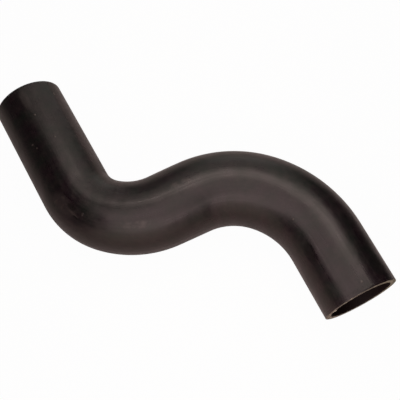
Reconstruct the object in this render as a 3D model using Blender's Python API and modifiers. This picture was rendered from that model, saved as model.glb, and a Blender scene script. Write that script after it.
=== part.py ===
"""Charge air hose: one moulded rubber tube that leads compressed air round two corners.

The centreline lies in one plane. A straight cuff at the inlet turns into a first bend
to the left, a short straight, a second bend to the right and a straight cuff at the
outlet. Each bend is moulded in two arcs of different radius. The wall has one thickness
all along, and the bore grows from the inlet's size to the outlet's between the cuffs.

The hose lies on z = 0, as it would on a bench, with the outlet's cut face towards -Y
and the middle straight along X. Its bounding box is centred on the origin in X and Y.
"""
from math import ceil, cos, radians, sin

import bpy
import bmesh
from mathutils import Matrix, Vector

MM = 0.001

# Section: the bores fit over the pipe stubs at the two ends
INLET_BORE = 48.0 * MM
OUTLET_BORE = 52.0 * MM
WALL = 5.0 * MM

# Route of the centreline, from the inlet's cut face to the outlet's
INLET_CUFF_LENGTH = 96.0 * MM
FIRST_BEND_ENTRY_RADIUS = 46.5 * MM
FIRST_BEND_ENTRY_ANGLE = radians(45.0)
FIRST_BEND_EXIT_RADIUS = 63.5 * MM
FIRST_BEND_EXIT_ANGLE = radians(42.0)
MIDDLE_STRAIGHT_LENGTH = 26.5 * MM
SECOND_BEND_ENTRY_RADIUS = 74.5 * MM
SECOND_BEND_ENTRY_ANGLE = radians(45.0)
SECOND_BEND_EXIT_RADIUS = 86.0 * MM
SECOND_BEND_EXIT_ANGLE = radians(45.0)
OUTLET_CUFF_LENGTH = 52.7 * MM
OUTLET_HEADING = radians(-90.0)

# Fineness of the facets
SIDES = 40
LARGEST_TURN = radians(6.0)
LONGEST_STEP = 32.0 * MM

# Finish: satin black rubber, slightly warm
RUBBER_COLOR = (0.036, 0.031, 0.029, 1.0)
RUBBER_ROUGHNESS = 0.5


def clear_scene():
    """Remove the objects that a new file starts with."""
    for thing in list(bpy.data.objects):
        bpy.data.objects.remove(thing, do_unlink=True)


def bend(radius, angle, side):
    """Return an arc of the route as (length, turn), with side +1 to the left, -1 to the right."""
    return radius * angle, side * angle


def route_pieces():
    """Return the centreline's straights and arcs in order, each as (length, turn)."""
    return [
        (INLET_CUFF_LENGTH, 0.0),
        bend(FIRST_BEND_ENTRY_RADIUS, FIRST_BEND_ENTRY_ANGLE, 1),
        bend(FIRST_BEND_EXIT_RADIUS, FIRST_BEND_EXIT_ANGLE, 1),
        (MIDDLE_STRAIGHT_LENGTH, 0.0),
        bend(SECOND_BEND_ENTRY_RADIUS, SECOND_BEND_ENTRY_ANGLE, -1),
        bend(SECOND_BEND_EXIT_RADIUS, SECOND_BEND_EXIT_ANGLE, -1),
        (OUTLET_CUFF_LENGTH, 0.0),
    ]


def walk_route():
    """Return the stations of the centreline, each as (x, y, distance from the inlet)."""
    pieces = route_pieces()
    heading = OUTLET_HEADING - sum(turn for _, turn in pieces)
    place = Vector((0.0, 0.0))
    distance = 0.0
    stations = [(place.x, place.y, distance)]
    for length, turn in pieces:
        steps = max(ceil(length / LONGEST_STEP), ceil(abs(turn) / LARGEST_TURN))
        step_length = length / steps
        step_turn = turn / steps
        # The chord of an arc is shorter than the arc by sin(x) / x of half its angle.
        half = step_turn / 2.0
        chord = step_length * (sin(half) / half if half else 1.0)
        for _ in range(steps):
            heading += half
            place = place + chord * Vector((cos(heading), sin(heading)))
            heading += half
            distance += step_length
            stations.append((place.x, place.y, distance))
    return stations


def outer_radius(distance):
    """Return the outside radius at a distance along the route, eased from cuff to cuff."""
    lengths = [length for length, _ in route_pieces()]
    growth_start = lengths[0]
    growth_end = sum(lengths[:4])
    share = (distance - growth_start) / (growth_end - growth_start)
    share = min(max(share, 0.0), 1.0)
    eased = share * share * (3.0 - 2.0 * share)
    bore = INLET_BORE + (OUTLET_BORE - INLET_BORE) * eased
    return bore / 2.0 + WALL


def outer_skin():
    """Sweep a circle along the route, resting on z = 0, and return the open tube as a mesh."""
    stations = walk_route()
    curve = bpy.data.curves.new("hose_route", "CURVE")
    curve.dimensions = "3D"
    curve.twist_mode = "Z_UP"
    curve.bevel_depth = INLET_BORE / 2.0 + WALL
    curve.bevel_resolution = (SIDES - 4) // 2
    spline = curve.splines.new("POLY")
    spline.points.add(len(stations) - 1)
    for point, (x, y, distance) in zip(spline.points, stations):
        radius = outer_radius(distance)
        point.co = (x, y, radius, 1.0)
        point.radius = radius / curve.bevel_depth
    guide = bpy.data.objects.new("hose_route", curve)
    bpy.context.scene.collection.objects.link(guide)
    shape = guide.evaluated_get(bpy.context.evaluated_depsgraph_get())
    mesh = bpy.data.meshes.new_from_object(shape)
    mesh.transform(guide.matrix_world)
    bpy.data.objects.remove(guide, do_unlink=True)
    return mesh


def centre_on_origin(mesh):
    """Move the mesh so that its bounding box is centred over the origin in X and Y."""
    xs = [vertex.co.x for vertex in mesh.vertices]
    ys = [vertex.co.y for vertex in mesh.vertices]
    middle = Vector((min(xs) + max(xs), min(ys) + max(ys), 0.0)) / 2.0
    mesh.transform(Matrix.Translation(-middle))


def weld(mesh):
    """Merge the double points of the sweep and turn its faces outwards."""
    shell = bmesh.new()
    shell.from_mesh(mesh)
    bmesh.ops.remove_doubles(shell, verts=shell.verts, dist=0.01 * MM)
    bmesh.ops.recalc_face_normals(shell, faces=shell.faces)
    shell.to_mesh(mesh)
    shell.free()


def rubber():
    """Return the finish of the moulded, fabric-reinforced rubber."""
    material = bpy.data.materials.new("moulded_rubber")
    material.use_nodes = True
    shader = material.node_tree.nodes["Principled BSDF"]
    shader.inputs["Base Color"].default_value = RUBBER_COLOR
    shader.inputs["Roughness"].default_value = RUBBER_ROUGHNESS
    shader.inputs["Metallic"].default_value = 0.0
    return material


def make_hose(collection):
    """Make the hose: the outer skin, thickened inwards by the wall."""
    mesh = outer_skin()
    weld(mesh)
    centre_on_origin(mesh)
    mesh.materials.clear()
    mesh.materials.append(rubber())
    mesh.shade_smooth()
    hose = bpy.data.objects.new("hose", mesh)
    collection.objects.link(hose)
    wall = hose.modifiers.new("wall", "SOLIDIFY")
    wall.thickness = WALL
    wall.offset = -1.0
    return hose


def main():
    clear_scene()
    collection = bpy.data.collections.new("charge_air_hose")
    bpy.context.scene.collection.children.link(collection)
    make_hose(collection)


main()
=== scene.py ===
# %% [markdown]
# A moulded charge air hose
#
# This lesson dresses one part of a car's engine bay: the rubber hose that leads compressed
# air round two corners. The shape is already decided by the CAD model, which is loaded first.
# Here the same tube is made again with a finer mesh, a cut wall that shows its layers, and
# the satin skin that such hoses come out of the autoclave with.

# %% Load the fixed frame
from math import ceil, cos, pi, radians, sin

import bmesh
import bpy
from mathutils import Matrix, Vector, noise


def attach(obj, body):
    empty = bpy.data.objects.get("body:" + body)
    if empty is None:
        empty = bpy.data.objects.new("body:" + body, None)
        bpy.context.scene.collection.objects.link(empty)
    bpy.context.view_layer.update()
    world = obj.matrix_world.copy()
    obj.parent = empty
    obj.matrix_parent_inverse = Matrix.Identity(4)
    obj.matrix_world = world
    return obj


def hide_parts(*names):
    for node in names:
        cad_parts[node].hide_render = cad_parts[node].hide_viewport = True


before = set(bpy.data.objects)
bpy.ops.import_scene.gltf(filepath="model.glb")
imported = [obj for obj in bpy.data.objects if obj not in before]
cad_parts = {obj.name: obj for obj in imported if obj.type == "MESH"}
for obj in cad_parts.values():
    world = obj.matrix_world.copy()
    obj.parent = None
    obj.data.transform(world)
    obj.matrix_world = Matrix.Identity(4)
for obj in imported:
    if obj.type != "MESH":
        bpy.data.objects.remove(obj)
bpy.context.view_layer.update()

MM = 0.001

# %% [markdown]
# The camera
#
# The photograph looks down on the hose from a low stool: 67 degrees above the table and
# 26 degrees to the left of straight on. The lens and the distance were worked out from how
# much wider the near outlet looks than the far inlet. The camera comes first, because the
# lamps are later placed by what the camera would call left, right, near and far.

# %% The camera's direction
CAMERA_AZIMUTH = radians(-26.3)
CAMERA_ELEVATION = radians(67.0)
CAMERA_DISTANCE = 625.0 * MM
CAMERA_TARGET = Vector((13.85, 2.0, 0.0)) * MM
LENS_MM = 64.8
SENSOR_WIDTH_MM = 36.0

to_the_camera = Vector((
    sin(CAMERA_AZIMUTH) * cos(CAMERA_ELEVATION),
    -cos(CAMERA_AZIMUTH) * cos(CAMERA_ELEVATION),
    sin(CAMERA_ELEVATION),
))
camera_place = CAMERA_TARGET + CAMERA_DISTANCE * to_the_camera
print("the camera stands at", [round(value / MM) for value in camera_place], "mm")

# %% Add the camera
bpy.ops.object.select_all(action="DESELECT")
bpy.ops.object.camera_add(
    location=camera_place,
    rotation=(-to_the_camera).to_track_quat("-Z", "Y").to_euler(),
)
camera = bpy.context.object
camera.name = "camera"
camera.data.sensor_width = SENSOR_WIDTH_MM
camera.data.lens = LENS_MM
camera.data.clip_start = 10.0 * MM
camera.data.clip_end = 20.0
bpy.context.scene.camera = camera

# %% [markdown]
# The hose
#
# A real hose of this kind starts as a straight tube: rubber is extruded, wrapped in a ply of
# fabric and covered with more rubber. While it is still soft it is pushed over a bent steel
# mandrel, and there it is cured under steam. Afterwards both ends are trimmed with a knife.
#
# The mesh follows the same steps, so its faces stretch on the outside of the bends and crowd
# on the inside as the rubber does: a straight tube is bent along the mandrel's centreline
# with a Curve modifier, and only then gets the thickness of its wall. Sweeping a circle along
# the curve would be quicker, but then nothing remembers where each point sat on the straight
# tube, and the lengthwise marks of the extrusion need that.

# %% Sizes of the tube
INLET_BORE = 48.0 * MM
OUTLET_BORE = 52.0 * MM
WALL = 5.0 * MM

INLET_RADIUS = INLET_BORE / 2.0 + WALL
OUTLET_RADIUS = OUTLET_BORE / 2.0 + WALL

# %% The mandrel's straights and arcs
# Each is (length, turn): a turn to the left is positive, and a straight has none.
INLET_CUFF = 96.0 * MM
MIDDLE_STRAIGHT = 26.5 * MM
OUTLET_CUFF = 52.7 * MM


def arc(radius_mm, degrees):
    """Return an arc's length and its turn."""
    return radius_mm * MM * abs(radians(degrees)), radians(degrees)


route = [
    (INLET_CUFF, 0.0),
    arc(46.5, 45.0),
    arc(63.5, 42.0),
    (MIDDLE_STRAIGHT, 0.0),
    arc(74.5, -45.0),
    arc(86.0, -45.0),
    (OUTLET_CUFF, 0.0),
]
tube_length = sum(length for length, _ in route)
growth_end = sum(length for length, _ in route[:4])
print("the centreline is", round(tube_length / MM, 1), "mm long")

# %% Walk the centreline
OUTLET_HEADING = radians(-90.0)
INLET_CENTRE = Vector((-84.622, 139.058)) * MM
STRIDE = 0.8 * MM


def walk(pieces):
    """Return close stations on the centreline, each as (x, y, distance, heading)."""
    heading = OUTLET_HEADING - sum(turn for _, turn in pieces)
    place = INLET_CENTRE.copy()
    distance = 0.0
    found = [(place.x, place.y, distance, heading)]
    for length, turn in pieces:
        steps = ceil(length / STRIDE)
        half = turn / steps / 2.0
        chord = length / steps * (sin(half) / half if half else 1.0)
        for _ in range(steps):
            heading += half
            place = place + chord * Vector((cos(heading), sin(heading)))
            heading += half
            distance += length / steps
            found.append((place.x, place.y, distance, heading))
    return found


stations = walk(route)
outlet_centre = Vector(stations[-1][:2])
print(len(stations), "stations, the outlet's centre at", [round(v / MM, 2) for v in outlet_centre])

# %% How wide the hose is along the way
def radius_at(distance):
    """Return the outside radius: it grows from cuff to cuff over the first bend."""
    share = (distance - INLET_CUFF) / (growth_end - INLET_CUFF)
    share = min(max(share, 0.0), 1.0)
    eased = share * share * (3.0 - 2.0 * share)
    return INLET_RADIUS + (OUTLET_RADIUS - INLET_RADIUS) * eased


print("outside radius half way:", round(radius_at(tube_length / 2.0) / MM, 2), "mm")

# %% The mandrel as a guide curve
bpy.ops.object.select_all(action="DESELECT")
bpy.ops.curve.primitive_nurbs_path_add(location=(0.0, 0.0, 0.0))
mandrel = bpy.context.object
mandrel.name = "mandrel"
mandrel.data.splines.clear()
mandrel.data.twist_mode = "Z_UP"
line = mandrel.data.splines.new("POLY")
line.points.add(len(stations) - 1)
for point, (x, y, distance, _) in zip(line.points, stations):
    radius = radius_at(distance)
    point.co = (x, y, radius, 1.0)
    point.radius = radius / INLET_RADIUS

# %% The straight tube
AROUND = 160
FIRST_CUTS = 11
SECOND_CUTS = 19

bpy.ops.object.select_all(action="DESELECT")
bpy.ops.mesh.primitive_cylinder_add(
    vertices=AROUND,
    radius=INLET_RADIUS,
    depth=tube_length,
    end_fill_type="NOTHING",
    location=(tube_length / 2.0, 0.0, 0.0),
    rotation=(0.0, radians(90.0), 0.0),
)
hose = bpy.context.object
hose.name = "moulded_hose"
bpy.ops.object.transform_apply(location=True, rotation=True, scale=True)
print("the tube starts with", len(hose.data.vertices), "points")


# %% Select by place
def select_where(piece, kind, chosen):
    """Select the vertices, edges or faces of a piece in edit mode for which chosen() is true."""
    shape = bmesh.from_edit_mesh(piece.data)
    for group in (shape.faces, shape.edges, shape.verts):
        for part in group:
            part.select = False
    count = 0
    for part in getattr(shape, kind):
        if chosen(part):
            part.select = True
            count += 1
    shape.select_flush_mode()
    bmesh.update_edit_mesh(piece.data)
    return count


# %% Divide it lengthwise
# The long edges are cut twice, because one subdivide makes a hundred cuts at most.
bpy.ops.object.mode_set(mode="EDIT")
bpy.ops.mesh.select_mode(type="EDGE")
for cut_count in (FIRST_CUTS, SECOND_CUTS):
    chosen = select_where(
        hose, "edges", lambda edge: abs(edge.verts[0].co.x - edge.verts[1].co.x) > 0.1 * MM
    )
    bpy.ops.mesh.subdivide(number_cuts=cut_count)
    print("cut", chosen, "long edges")
bpy.ops.object.mode_set(mode="OBJECT")

# %% Remember where each point sat on the straight tube
# The patterns of the skin are drawn in these coordinates, in metres: X runs along the hose
# from the inlet, and Y and Z lie across it.
blank = hose.data.attributes.new("blank", "FLOAT_VECTOR", "POINT")
for vertex, value in zip(hose.data.vertices, blank.data):
    value.vector = vertex.co

# %% Bend it over the mandrel
bpy.context.view_layer.objects.active = hose
bend = hose.modifiers.new("bend", "CURVE")
bend.object = mandrel
bend.deform_axis = "POS_X"
bpy.ops.object.modifier_apply(modifier="bend")
bpy.data.objects.remove(mandrel, do_unlink=True)
low = Vector([min(v.co[axis] for v in hose.data.vertices) for axis in range(3)])
high = Vector([max(v.co[axis] for v in hose.data.vertices) for axis in range(3)])
print("bent, it measures", [round(side / MM, 2) for side in high - low], "mm")

# %% Let the skin wander a little
# A steamed hose never lies perfectly on its mandrel. Waves some 35 mm long, a fraction of a
# millimetre deep, bend the highlights as on the real one. They only go inwards, so the hose
# stays inside its CAD box, and they fade out at the two ends, which stay round and flat.
WAVE_LENGTH = 35.0 * MM
WAVE_DEPTH = 0.45 * MM
FADE = 14.0 * MM

free = hose.vertex_groups.new(name="free")
for vertex, value in zip(hose.data.vertices, blank.data):
    along = value.vector.x
    from_end = min(along, tube_length - along)
    free.add([vertex.index], min(from_end / FADE, 1.0), "REPLACE")

waves = bpy.data.textures.new("mandrel_waves", "CLOUDS")
waves.noise_scale = WAVE_LENGTH
waves.noise_depth = 1
ripple = hose.modifiers.new("ripple", "DISPLACE")
ripple.texture = waves
ripple.texture_coords = "LOCAL"
ripple.vertex_group = "free"
ripple.mid_level = 1.0
ripple.strength = WAVE_DEPTH
bpy.ops.object.modifier_apply(modifier="ripple")
hose.vertex_groups.clear()
bpy.data.textures.remove(waves)

# %% [markdown]
# The wall
#
# Turning all faces outwards comes before the wall, because on a closed shell it would turn
# the bore inside out. The Solidify modifier then grows 5 mm of rubber inwards and hands out
# three material slots: the skin, the bore and the two faces that the knife cut.

# %% Turn the faces outwards
bpy.ops.object.mode_set(mode="EDIT")
bpy.ops.mesh.select_all(action="SELECT")
bpy.ops.mesh.remove_doubles(threshold=0.001 * MM)
bpy.ops.mesh.normals_make_consistent(inside=False)
bpy.ops.object.mode_set(mode="OBJECT")

# %% Grow the wall inwards
SKIN, BORE, CUT = 0, 1, 2
for name in ("skin", "bore", "cut"):
    hose.data.materials.append(bpy.data.materials.new(name))
wall = hose.modifiers.new("wall", "SOLIDIFY")
wall.thickness = WALL
wall.offset = -1.0
wall.material_offset = BORE
wall.material_offset_rim = CUT
skin_points = len(hose.data.vertices)
bpy.ops.object.modifier_apply(modifier="wall")
faces_by_slot = [0, 0, 0]
for face in hose.data.polygons:
    faces_by_slot[face.material_index] += 1
print("faces of the skin, the bore and the cuts:", faces_by_slot)

# %% Tell the bore's points where they sat on the straight tube
# Solidify adds the bore's points after the skin's, with the skin's place. Pulled in by the
# wall, their place tells the cut faces how deep in the wall they are.
pulled_in = (INLET_RADIUS - WALL) / INLET_RADIUS
for value in hose.data.attributes["blank"].data[skin_points:]:
    along, left, up = value.vector
    value.vector = (along, left * pulled_in, up * pulled_in)

# %% [markdown]
# The cut faces
#
# The knife leaves a ring at each end. A boolean cut would give a perfectly flat one, but
# rubber gives way under a blade, so the ring is up to a fifth of a millimetre uneven. Its
# wall is divided into thin layers whose points can dip: only inwards, never out past the
# CAD's flat face. The two sharp edges are broken by a very small bevel. At the outlet the
# blade also dragged a yarn inwards. That burr is pulled out of the rim as real shape, because
# a bump in the material would be too flat to show against the dark bore.

# %% Where the two cuts are
inlet_centre_3d = Vector((INLET_CENTRE.x, INLET_CENTRE.y, INLET_RADIUS))
outlet_centre_3d = Vector((outlet_centre.x, outlet_centre.y, OUTLET_RADIUS))
inlet_way_in = Vector((cos(stations[0][3]), sin(stations[0][3]), 0.0))
outlet_way_in = Vector((-cos(stations[-1][3]), -sin(stations[-1][3]), 0.0))
cuts = [(inlet_centre_3d, inlet_way_in), (outlet_centre_3d, outlet_way_in)]


def from_cut(point, cut):
    """Return how deep a point lies behind a cut face, and how far from the hose's centreline."""
    centre, way_in = cut
    depth = (point - centre).dot(way_in)
    return depth, (point - centre - depth * way_in).length


FACE_TOLERANCE = 0.05 * MM


def on_cut(point):
    """Tell whether a point lies in one of the cut faces."""
    for cut in cuts:
        depth, far_out = from_cut(point, cut)
        if abs(depth) < FACE_TOLERANCE and far_out < OUTLET_RADIUS + MM:
            return True
    return False


def across_wall(edge):
    """Tell whether an edge runs across the wall in a cut face."""
    first, second = (vertex.co for vertex in edge.verts)
    return on_cut(first) and on_cut(second) and (first - second).length > 0.8 * WALL


def round_rim(edge):
    """Tell whether an edge runs along the outer or inner rim of a cut face."""
    first, second = (vertex.co for vertex in edge.verts)
    if not (on_cut(first) and on_cut(second)):
        return False
    return len({face.material_index for face in edge.link_faces}) == 2


# %% Divide the wall into layers, then break the sharp rims
RIM_BEVEL = 0.45 * MM
LAYERS = 9

bpy.ops.object.mode_set(mode="EDIT")
bpy.ops.mesh.select_mode(type="EDGE")
chosen = select_where(hose, "edges", across_wall)
bpy.ops.mesh.subdivide(number_cuts=LAYERS - 1)
print("divided", chosen, "edges across the wall")
chosen = select_where(hose, "edges", round_rim)
bpy.ops.mesh.bevel(offset=RIM_BEVEL, segments=2, profile=0.5, affect="EDGES")
print("bevelled", chosen, "edges along the rims")
bpy.ops.object.mode_set(mode="OBJECT")

# %% Let the cut faces dip
DIP = 0.2 * MM
DIP_LENGTH = 6.0 * MM

dipped = 0
for vertex in hose.data.vertices:
    if not on_cut(vertex.co):
        continue
    nearest = min(cuts, key=lambda cut: (vertex.co - cut[0]).length)
    share = 0.5 + 0.5 * noise.noise(vertex.co / DIP_LENGTH)
    vertex.co += DIP * min(max(share, 0.0), 1.0) * nearest[1]
    dipped += 1
print(dipped, "points of the cut faces dip")

# %% Pull a burr out of the outlet's inner rim
# Its place is given on the straight tube, and the points round it move towards the bore's
# middle, the nearest ones the farthest.
BURR_ANGLE = radians(164.0)
BURR_REACH = 2.4 * MM
BURR_HEIGHT = 2.5 * MM
burr_across = INLET_BORE / 2.0 * Vector((cos(BURR_ANGLE), sin(BURR_ANGLE)))
burr_spot = Vector((tube_length, burr_across.x, burr_across.y))

moved = 0
for vertex, value in zip(hose.data.vertices, hose.data.attributes["blank"].data):
    far = (value.vector - burr_spot).length
    if far < BURR_REACH:
        inwards = outlet_centre_3d - vertex.co
        inwards.y = 0.0
        vertex.co += inwards.normalized() * BURR_HEIGHT * (1.0 - far / BURR_REACH)
        moved += 1
print("the burr moved", moved, "points")

# %% Shade it smooth
bpy.ops.object.select_all(action="DESELECT")
hose.select_set(True)
bpy.context.view_layer.objects.active = hose
bpy.ops.object.shade_smooth_by_angle(angle=radians(40.0))
triangles = sum(len(face.vertices) - 2 for face in hose.data.polygons)
print("the hose has", len(hose.data.vertices), "points and", triangles, "triangles")

# %% [markdown]
# The finishes
#
# Every colour below is written as it would be picked on a screen, in sRGB hex, and one
# function turns it into the linear light that the shaders count in. One more function adds
# a node, with its settings and its links. Short ones build on it for what comes again and
# again: noise, a stretched range, a sum, a mix of two colours, and a pattern drawn out
# along the hose.

# %% Colours and nodes
def linear(color):
    """Return an sRGB hex colour as linear red, green, blue and alpha."""
    parts = [int(color[at:at + 2], 16) / 255.0 for at in (1, 3, 5)]
    bright = [p / 12.92 if p <= 0.04045 else ((p + 0.055) / 1.055) ** 2.4 for p in parts]
    return (*bright, 1.0)


def add_node(tree, kind, inputs=None, **settings):
    """Add a node, set its settings, and give each input a value or a link."""
    node = tree.nodes.new(kind)
    for name, value in settings.items():
        setattr(node, name, value)
    for name, value in (inputs or {}).items():
        if isinstance(value, bpy.types.NodeSocket):
            tree.links.new(value, node.inputs[name])
        else:
            node.inputs[name].default_value = value
    return node


def noise_of(tree, place, size, detail, roughness=0.5):
    """Return a noise pattern whose cells have this size in millimetres."""
    return add_node(
        tree, "ShaderNodeTexNoise",
        {"Vector": place, "Scale": 1.0 / (size * MM), "Detail": detail, "Roughness": roughness},
    ).outputs["Fac"]


def stretched(tree, value, low, high, at_low=0.0, at_high=1.0, ease="LINEAR"):
    """Return a value mapped from one range to another, and held at the ends."""
    return add_node(
        tree, "ShaderNodeMapRange",
        {"Value": value, "From Min": low, "From Max": high, "To Min": at_low, "To Max": at_high},
        interpolation_type=ease,
    ).outputs["Result"]


def calculated(tree, operation, *values):
    """Return the result of a sum with one, two or three values."""
    return add_node(tree, "ShaderNodeMath", dict(enumerate(values)), operation=operation).outputs[0]


def mixed(tree, share, under, over):
    """Return a colour with another mixed over it by a share."""
    return add_node(
        tree, "ShaderNodeMix", {"Factor": share, 6: under, 7: over}, data_type="RGBA",
    ).outputs[2]


def drawn_out(tree, place, times):
    """Return coordinates in which a pattern gets this many times longer along the hose."""
    return add_node(
        tree, "ShaderNodeVectorMath",
        {0: place, 1: (1.0 / times, 1.0, 1.0)}, operation="MULTIPLY",
    ).outputs["Vector"]


def start_material(slot, name):
    """Name a slot's material and return its tree, its shader and the straight tube's place."""
    material = hose.data.materials[slot]
    material.name = name
    material.use_nodes = True
    tree = material.node_tree
    place = add_node(tree, "ShaderNodeAttribute", attribute_name="blank").outputs["Vector"]
    return tree, tree.nodes["Principled BSDF"], place


# %% [markdown]
# The skin
#
# The cover is EPDM rubber filled with carbon black, cured in steam with no mould around it.
# That leaves a satin skin: nearly black by itself, with soft broad highlights. Wax that
# creeps out of the rubber, called bloom, clouds it with faint brown, purple and olive
# patches, extrusion leaves fine lines along the hose, and handling adds small paler spots.
#
# Noise could be laid straight over the finished shape, but the lines have to follow the
# bends, so all patterns are drawn in the coordinates of the straight tube.

# %% Bloom: cloudy patches of purple and olive brown
BLOOM_PATCH = 15.0

skin_tree, skin, place = start_material(SKIN, "steam_cured_epdm_rubber")
bloom = noise_of(skin_tree, place, BLOOM_PATCH, detail=3.0)
bloom = stretched(skin_tree, bloom, 0.36, 0.64)
bloom_color = mixed(skin_tree, bloom, linear("#160c10"), linear("#0b0e0b"))

# %% Extrusion lines: noise drawn out sixty times along the hose
LINE_WIDTH = 1.5
LINE_DRAW = 60.0
lines = noise_of(
    skin_tree, drawn_out(skin_tree, place, LINE_DRAW), LINE_WIDTH, detail=2.0, roughness=0.6,
)

# %% Handling: small cloudy spots where hands and other hoses touched the skin
HANDLED_PATCH = 4.5
handled = noise_of(skin_tree, place, HANDLED_PATCH, detail=4.0, roughness=0.65)
handled = stretched(skin_tree, handled, 0.44, 0.74)

# %% Grain: the pores that steam leaves, and the soft dimples of the wrap
GRAIN_SIZE = 0.9
DIMPLE_SIZE = 9.0
grain = noise_of(skin_tree, place, GRAIN_SIZE, detail=2.0, roughness=0.6)
dimples = noise_of(skin_tree, place, DIMPLE_SIZE, detail=1.0, roughness=0.4)


# %% A mark at one place on the skin
def mark_mask(along, angle, length, width):
    """Return a soft spot, 1 inside and 0 outside.

    Sizes are in mm, and the angle goes up from the hose's left.
    """
    angle = radians(angle)
    centre = Vector((along * MM, INLET_RADIUS * cos(angle), INLET_RADIUS * sin(angle)))
    moved = add_node(
        skin_tree, "ShaderNodeVectorMath", {0: place, 1: centre}, operation="SUBTRACT",
    ).outputs["Vector"]
    half_sizes = Vector((length, width, width)) * MM / 2.0
    shrunk = add_node(
        skin_tree, "ShaderNodeVectorMath", {0: moved, 1: half_sizes}, operation="DIVIDE",
    ).outputs["Vector"]
    far = add_node(
        skin_tree, "ShaderNodeVectorMath", {0: shrunk}, operation="LENGTH",
    ).outputs["Value"]
    return stretched(skin_tree, far, 0.45, 1.0, 1.0, 0.0, "SMOOTHSTEP")


def marks(*sizes):
    """Return one mask for several marks."""
    strongest = 0.0
    for mark in sizes:
        strongest = calculated(skin_tree, "MAXIMUM", strongest, mark_mask(*mark))
    return strongest


# %% Where the skin was rubbed, smudged, scarred, dented and dusted, with painted highlight on the scars and painted shade in the dents
# Each mark gives its distance from the inlet, its angle, its length and its width.
rubbed = marks(
    (108.0, 127.0, 24.0, 16.0),
    (14.0, 97.0, 28.0, 9.0),
)
smudged = marks(
    (157.0, 122.0, 30.0, 8.0),
    (194.0, 85.0, 34.0, 8.0),
)
smudged = calculated(skin_tree, "MULTIPLY", smudged, handled)
# The scars are raised crescents beside the dents, and their paler colour in the base colour is
# partly painted highlight: the light their lips would catch.
scars_and_painted_highlight = marks(
    (105.0, 119.5, 3.0, 2.6),
    (103.0, 133.0, 2.0, 7.0),
    (108.0, 131.0, 1.8, 5.0),
    (115.5, 127.0, 8.0, 1.8),
    (121.5, 121.0, 2.0, 4.0),
)
# The dents are sunk in the relief below, and their near-black colour in the base colour is painted
# shade: the darkness their slopes would mirror.
dents_and_painted_shade = marks(
    (113.0, 121.0, 9.0, 6.0),
    (118.0, 130.5, 6.0, 2.6),
    (338.0, 137.0, 24.0, 9.0),
)
specks = marks(
    (30.5, 94.0, 2.4, 2.2),
    (57.0, 82.0, 2.4, 2.0),
    (53.0, 121.0, 2.2, 2.6),
    (58.0, 117.0, 2.0, 2.0),
    (14.5, 44.0, 4.0, 1.6),
    (303.0, 126.0, 2.2, 2.0),
    (377.0, 94.0, 2.6, 2.4),
)

# %% The base colour
# Each layer is a mask, a colour and the most that the colour covers.
skin_color = bloom_color
for mask, color, cover in (
    (handled, "#251c1b", 0.55),
    (rubbed, "#302826", 0.55),
    (smudged, "#4a403c", 0.45),
    # The dents' near-black is painted shade, not a colour of the rubber.
    (dents_and_painted_shade, "#070404", 0.7),
    # The scars' paler colour is partly painted highlight.
    (scars_and_painted_highlight, "#3a302b", 0.28),
    (specks, "#3b322e", 1.0),
):
    share = calculated(skin_tree, "MULTIPLY", mask, cover)
    skin_color = mixed(skin_tree, share, skin_color, linear(color))
skin_tree.links.new(skin_color, skin.inputs["Base Color"])

# %% Roughness: satin, duller on the raised lines and where bloom, rubbing and handling are
SMOOTHEST = 0.15
roughness = SMOOTHEST
for pattern, added in ((lines, 0.30), (bloom, 0.06), (rubbed, 0.05), (handled, 0.05)):
    roughness = calculated(skin_tree, "MULTIPLY_ADD", pattern, added, roughness)
skin_tree.links.new(roughness, skin.inputs["Roughness"])

# %% Two grooves that the clamp of the trimming jig pressed in near each end
GROOVE_WIDTH = 0.9 * MM
from_inlet = add_node(skin_tree, "ShaderNodeSeparateXYZ", {0: place}).outputs["X"]
from_outlet = calculated(skin_tree, "SUBTRACT", tube_length, from_inlet)
from_end = calculated(skin_tree, "MINIMUM", from_inlet, from_outlet)
grooves = [
    calculated(skin_tree, "COMPARE", from_end, groove_place, GROOVE_WIDTH / 2.0)
    for groove_place in (1.6 * MM, 3.4 * MM)
]

# %% Relief: each pattern is raised by its own height in mm, or sunk by a negative one
relief = 0.0
for pattern, height in (
    (lines, 0.035),
    (grain, 0.012),
    (dimples, 0.20),
    (scars_and_painted_highlight, 0.11),
    (dents_and_painted_shade, -0.30),
    (rubbed, 0.06),
    (specks, 0.10),
    (grooves[0], -0.05),
    (grooves[1], -0.05),
):
    relief = calculated(skin_tree, "MULTIPLY_ADD", pattern, height * MM, relief)
bump = add_node(
    skin_tree, "ShaderNodeBump", {"Height": relief, "Distance": 1.0, "Strength": 1.0},
).outputs["Normal"]
skin_tree.links.new(bump, skin.inputs["Normal"])

# %% Gloss
# Rubber's own index is about 1.5. The wax of the bloom lies over it as a thin brownish film,
# so what the skin mirrors takes on a warm cast.
skin.inputs["Metallic"].default_value = 0.0
skin.inputs["IOR"].default_value = 1.47
skin.inputs["Specular Tint"].default_value = linear("#ffeae1")

# %% Bare yarn on the burr
def with_burr(tree, place, color):
    """Mix the pale yarn over a colour within reach of the burr."""
    from_burr = add_node(
        tree, "ShaderNodeVectorMath", {0: place, 1: burr_spot}, operation="DISTANCE",
    ).outputs["Value"]
    burr = stretched(tree, from_burr, 0.6 * BURR_REACH, BURR_REACH, 1.0, 0.0)
    return mixed(tree, burr, color, linear("#d8cdb8"))


# %% [markdown]
# The bore
#
# The liner is rubber that slid over the mandrel and took on its fine lengthwise lines. It is
# duller than the skin, and hardly any light reaches it, so it is the darkest finish. Plain
# black would do for the photograph, but from the front the lines can be seen.

# %% The bore
BORE_LINE_WIDTH = 1.2
BORE_LINE_DRAW = 40.0

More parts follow.
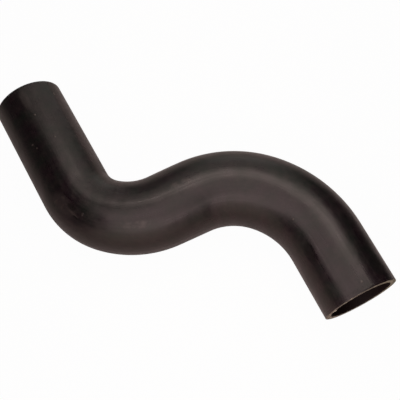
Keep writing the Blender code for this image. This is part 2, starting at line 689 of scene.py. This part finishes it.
bore_tree, bore, bore_place = start_material(BORE, "mandrel_drawn_rubber")
bore_lines = noise_of(
    bore_tree, drawn_out(bore_tree, bore_place, BORE_LINE_DRAW), BORE_LINE_WIDTH, detail=2.0,
)
bore_color = mixed(bore_tree, bore_lines, linear("#0f0707"), linear("#1a100e"))
bore_color = with_burr(bore_tree, bore_place, bore_color)
bore_bump = add_node(
    bore_tree, "ShaderNodeBump", {"Height": bore_lines, "Distance": 0.04 * MM},
).outputs["Normal"]
bore_tree.links.new(bore_color, bore.inputs["Base Color"])
bore_tree.links.new(bore_bump, bore.inputs["Normal"])
bore.inputs["Roughness"].default_value = 0.6
bore.inputs["IOR"].default_value = 1.30
bore.inputs["Specular Tint"].default_value = linear("#ffe7df")

# %% [markdown]
# The cut wall
#
# The knife bares what the wall is made of: a thin dark cover outside, a thin dark liner
# inside, and between them brown friction rubber that holds a ply of undyed aramid yarn. The
# yarn ends are 1.4 mm apart, so they show as a row of pale dots. They could be modelled one
# by one, but at this size a pattern in depth and angle gives the same and follows the round
# wall by itself.

# %% Depth in the wall, from the bore (0) to the skin (1)
# Rubber smears under the blade, so the depth wanders by a few tenths of a millimetre.
SMEAR_PATCH = 3.0
SMEAR = 0.9 * MM

cut_tree, cut_face, cut_place = start_material(CUT, "knife_cut_rubber_and_aramid_ply")
parts = add_node(cut_tree, "ShaderNodeSeparateXYZ", {0: cut_place})
flat_place = add_node(
    cut_tree, "ShaderNodeCombineXYZ", {"Y": parts.outputs["Y"], "Z": parts.outputs["Z"]},
).outputs["Vector"]
radius = add_node(
    cut_tree, "ShaderNodeVectorMath", {0: flat_place}, operation="LENGTH",
).outputs["Value"]
smear = noise_of(cut_tree, cut_place, SMEAR_PATCH, detail=3.0)
smeared_radius = calculated(cut_tree, "MULTIPLY_ADD", smear, SMEAR, radius)
depth = stretched(
    cut_tree, smeared_radius, INLET_BORE / 2.0 + SMEAR / 2.0, INLET_RADIUS + SMEAR / 2.0,
)

# %% The layers: liner, brown friction rubber and cover
layers = add_node(cut_tree, "ShaderNodeValToRGB", {"Fac": depth})
ramp = layers.color_ramp
liner, cover = ramp.elements
liner.position = 0.04
liner.color = linear("#2b211d")
cover.position = 0.93
cover.color = linear("#352b26")
for position, color in ((0.10, "#62554b"), (0.30, "#7c6e62"), (0.60, "#6f6156"), (0.84, "#5a4d44")):
    ramp.elements.new(position).color = linear(color)

# %% Yarn ends: dots 1.4 mm apart in the ply
YARN_SPACING = 1.4 * MM
PLY_RADIUS = INLET_BORE / 2.0 + 1.7 * MM
PLY_DEPTH = 0.33
PLY_HALF_WIDTH = 0.16

yarns = round(2.0 * pi * PLY_RADIUS / YARN_SPACING)
angle = calculated(cut_tree, "ARCTAN2", parts.outputs["Z"], parts.outputs["Y"])
dots = calculated(cut_tree, "COSINE", calculated(cut_tree, "MULTIPLY", angle, float(yarns)))
in_ply = calculated(cut_tree, "COMPARE", depth, PLY_DEPTH, PLY_HALF_WIDTH)
yarn_ends = calculated(cut_tree, "MULTIPLY", dots, in_ply)
yarn_ends = stretched(cut_tree, yarn_ends, 0.0, 0.8)
cut_color = mixed(cut_tree, yarn_ends, layers.outputs["Color"], linear("#948672"))
print(yarns, "yarn ends round the ply")

# %% Paler and more olive on the side where the blade came out
blade_out = stretched(cut_tree, parts.outputs["Y"], -10.0 * MM, INLET_RADIUS, 0.0, 0.7)
cut_color = mixed(cut_tree, blade_out, cut_color, linear("#878067"))

# %% Frayed patches, where the blade tore the yarn instead of cutting it
FRAYED_PATCH = 3.5
frayed = noise_of(cut_tree, cut_place, FRAYED_PATCH, detail=2.0)
frayed = stretched(cut_tree, frayed, 0.52, 0.64, 0.0, 0.7)
cut_color = mixed(cut_tree, frayed, cut_color, linear("#b0a48e"))
cut_color = with_burr(cut_tree, cut_place, cut_color)
cut_tree.links.new(cut_color, cut_face.inputs["Base Color"])

# %% The torn surface that a blade leaves
TEAR_SIZE = 0.8
tear = noise_of(cut_tree, cut_place, TEAR_SIZE, detail=4.0, roughness=0.6)
torn = calculated(cut_tree, "MULTIPLY_ADD", yarn_ends, 0.6, tear)
cut_bump = add_node(
    cut_tree, "ShaderNodeBump", {"Height": torn, "Distance": 0.25 * MM},
).outputs["Normal"]
cut_tree.links.new(cut_bump, cut_face.inputs["Normal"])
cut_face.inputs["Roughness"].default_value = 0.85

# %% [markdown]
# Hand the hose to its CAD body
#
# The piece rides on the one body that the part has and stands for the CAD's plain solid. It
# already lies where that solid is, because both follow the same mandrel.

# %% Ride and replace
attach(hose, "root")
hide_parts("hose")

# %% [markdown]
# The table
#
# The photograph's ground is plain white. A lamp strong enough to burn a table out to white
# would spoil the hose, so for the camera the table shows nearly all of its white by itself.
# It takes the small rest from the lamps, and that rest keeps a trace of the hose's shadow.
# The hose mirrors mostly the pale, warm laminate in the lamps' light instead, so its flanks
# darken towards the table as they do on a real one.

# %% The table's top
bpy.ops.object.select_all(action="DESELECT")
bpy.ops.mesh.primitive_plane_add(size=30.0, location=(0.0, 0.0, 0.0))
table = bpy.context.object
table.name = "table_top"

# %% A pale laminate, shown as white
SHOWN_SHARE = 0.975
MIRRORED_SHARE = 0.06
laminate = bpy.data.materials.new("matt_pale_laminate")
laminate.use_nodes = True
table.data.materials.append(laminate)
table_tree = laminate.node_tree
table_tree.nodes.remove(table_tree.nodes["Principled BSDF"])


def seen_share(tree, to_camera, mirrored):
    """Return one share for rays from the camera, one for mirrored and refracted rays, else 0."""
    ray = add_node(tree, "ShaderNodeLightPath")
    seen = calculated(tree, "MULTIPLY", ray.outputs["Is Camera Ray"], to_camera)
    for kind in ("Is Glossy Ray", "Is Transmission Ray"):
        other = calculated(tree, "MULTIPLY", ray.outputs[kind], mirrored)
        seen = calculated(tree, "MAXIMUM", seen, other)
    return seen


paint = add_node(table_tree, "ShaderNodeBsdfDiffuse", {"Color": linear("#cdbab3")})
glow = add_node(table_tree, "ShaderNodeEmission", {"Color": linear("#ffffff"), "Strength": 1.0})
white_by_itself = seen_share(table_tree, SHOWN_SHARE, MIRRORED_SHARE)
surface = add_node(
    table_tree, "ShaderNodeMixShader",
    {0: white_by_itself, 1: paint.outputs[0], 2: glow.outputs[0]},
)
table_tree.links.new(surface.outputs[0], table_tree.nodes["Material Output"].inputs["Surface"])
laminate.cycles.emission_sampling = "NONE"

# %% [markdown]
# The room
#
# Black rubber is seen by what it mirrors. The studio is dim above and to the sides, which
# gives the hose its dark bands. Only a low band round the horizon is white for the camera,
# to carry on the table's white in views from the side.

# %% The room's dim walls and white horizon
ROOM_LEVEL = 0.03
room = bpy.data.worlds.new("dim_studio")
bpy.context.scene.world = room
room.use_nodes = True
room_tree = room.node_tree
direction = add_node(room_tree, "ShaderNodeTexCoord").outputs["Generated"]
upward = add_node(room_tree, "ShaderNodeSeparateXYZ", {0: direction}).outputs["Z"]
low_down = stretched(room_tree, upward, 0.14, 0.30, 1.0, 0.0, "SMOOTHSTEP")
seen_white = seen_share(room_tree, 1.0, MIRRORED_SHARE)
white_share = calculated(room_tree, "MULTIPLY", low_down, seen_white)
brightness = stretched(room_tree, white_share, 0.0, 1.0, ROOM_LEVEL, 1.0)
background = room_tree.nodes["Background"]
room_tree.links.new(brightness, background.inputs["Strength"])
background.inputs["Color"].default_value = linear("#ffffff")
room.cycles.sampling_method = "NONE"

# %% [markdown]
# The lamps
#
# Seven softboxes of different strengths hang side by side over the table, and a low window
# stands at the near side and another at the far side. The brightest field is over the hose and
# draws the upper ridge of light along it. The fields nearer to the camera draw the softer
# lower ridge, with a thin darker line between the two. The fields farther away and the far
# window light the inlet's cuff evenly.
#
# One big lamp would be simpler, but then the hose would show one plain stripe. Real diffuser
# cloths are never quite alike, so the near ones are a trace rosy and the far ones a trace
# green. The places are given as seen from the camera, in mm from the spot that it looks at:
# to the right, away from it and up.

# %% A softbox
right_of_camera = Vector((cos(CAMERA_AZIMUTH), sin(CAMERA_AZIMUTH), 0.0))
away_from_camera = Vector((-sin(CAMERA_AZIMUTH), cos(CAMERA_AZIMUTH), 0.0))


def spot_at(right, away, up):
    """Return the place this many mm to the right of the camera's target, away from it and up."""
    spot = CAMERA_TARGET + (right * right_of_camera + away * away_from_camera) * MM
    spot.z = up * MM
    return spot


def softbox(name, place_mm, size_mm, radiance, tint, facing=None, turn=0.0):
    """Add a lamp that faces down, turned by some degrees, or that faces the way given.

    The radiance is how bright it looks: 1 looks as bright as a white sheet in plain light.
    """
    bpy.ops.object.light_add(type="AREA", location=spot_at(*place_mm))
    lamp = bpy.context.object
    lamp.name = name
    lamp.rotation_euler = (0.0, 0.0, CAMERA_AZIMUTH + radians(turn))
    if facing:
        lamp.rotation_euler = facing.to_track_quat("-Z", "Y").to_euler()
    lamp.data.shape = "RECTANGLE"
    lamp.data.size = size_mm[0] * MM
    lamp.data.size_y = size_mm[1] * MM
    lamp.data.energy = radiance * pi * lamp.data.size * lamp.data.size_y
    lamp.data.color = linear(tint)[:3]
    lamp.visible_camera = False


# %% Hang the softboxes and stand up the windows
PLAIN = "#ffffff"
ROSY = "#fffaff"
GREENISH = "#f7fffa"
WARM = "#fff6ed"
HANG = 480

softbox("near_softbox", (150, -640, HANG), (1100, 680), 2.2, ROSY)
softbox("left_field", (-370, -165, HANG), (420, 250), 2.05, ROSY)
softbox("middle_softbox", (0, -132, HANG), (420, 290), 1.65, ROSY)
softbox("bright_field", (128, 168, HANG), (430, 250), 3.15, PLAIN, turn=-14.0)
softbox("bright_left_field", (-148, 158, HANG), (90, 130), 3.7, PLAIN)
softbox("far_left_field", (-270, 350, HANG), (280, 240), 0.6, GREENISH)
softbox("far_softbox", (100, 660, HANG), (700, 690), 0.72, GREENISH)
softbox("near_window", (0, -950, 240), (1500, 480), 0.95, WARM, away_from_camera)
softbox("far_window", (140, 1000, 240), (600, 420), 0.82, GREENISH, -away_from_camera)

# %% [markdown]
# The black flags
#
# Photographers stand black cards beside a dark, rounded thing, so that its edge mirrors a
# card and stays dark instead of fading into the white table. One stands to the right of the
# outlet. The other lies flat above the table, to the left of the first bend, and keeps that
# bend darker than the rest. The camera doesn't see them.

# %% Black felt
felt = bpy.data.materials.new("black_felt")
felt.use_nodes = True
felt_shader = felt.node_tree.nodes["Principled BSDF"]
felt_shader.inputs["Base Color"].default_value = linear("#050505")
felt_shader.inputs["Roughness"].default_value = 1.0
felt_shader.inputs["IOR"].default_value = 1.0


# %% Stand one flag up and hang the other
def black_flag(name, place_mm, size_mm, lean):
    """Add a black card that the camera does not see; lean is 0 degrees lying, 90 upright."""
    bpy.ops.object.select_all(action="DESELECT")
    bpy.ops.mesh.primitive_plane_add(
        size=1.0,
        location=spot_at(*place_mm),
        rotation=(0.0, radians(lean), CAMERA_AZIMUTH),
    )
    card = bpy.context.object
    card.name = name
    card.scale = (size_mm[0] * MM, size_mm[1] * MM, 1.0)
    card.visible_camera = False
    card.data.materials.append(felt)


black_flag("right_flag", (240, -50, 150), (300, 700), 90.0)
black_flag("left_flag", (-250, -90, 200), (220, 220), 0.0)

# %% Colour management
bpy.context.scene.view_settings.view_transform = "Standard"
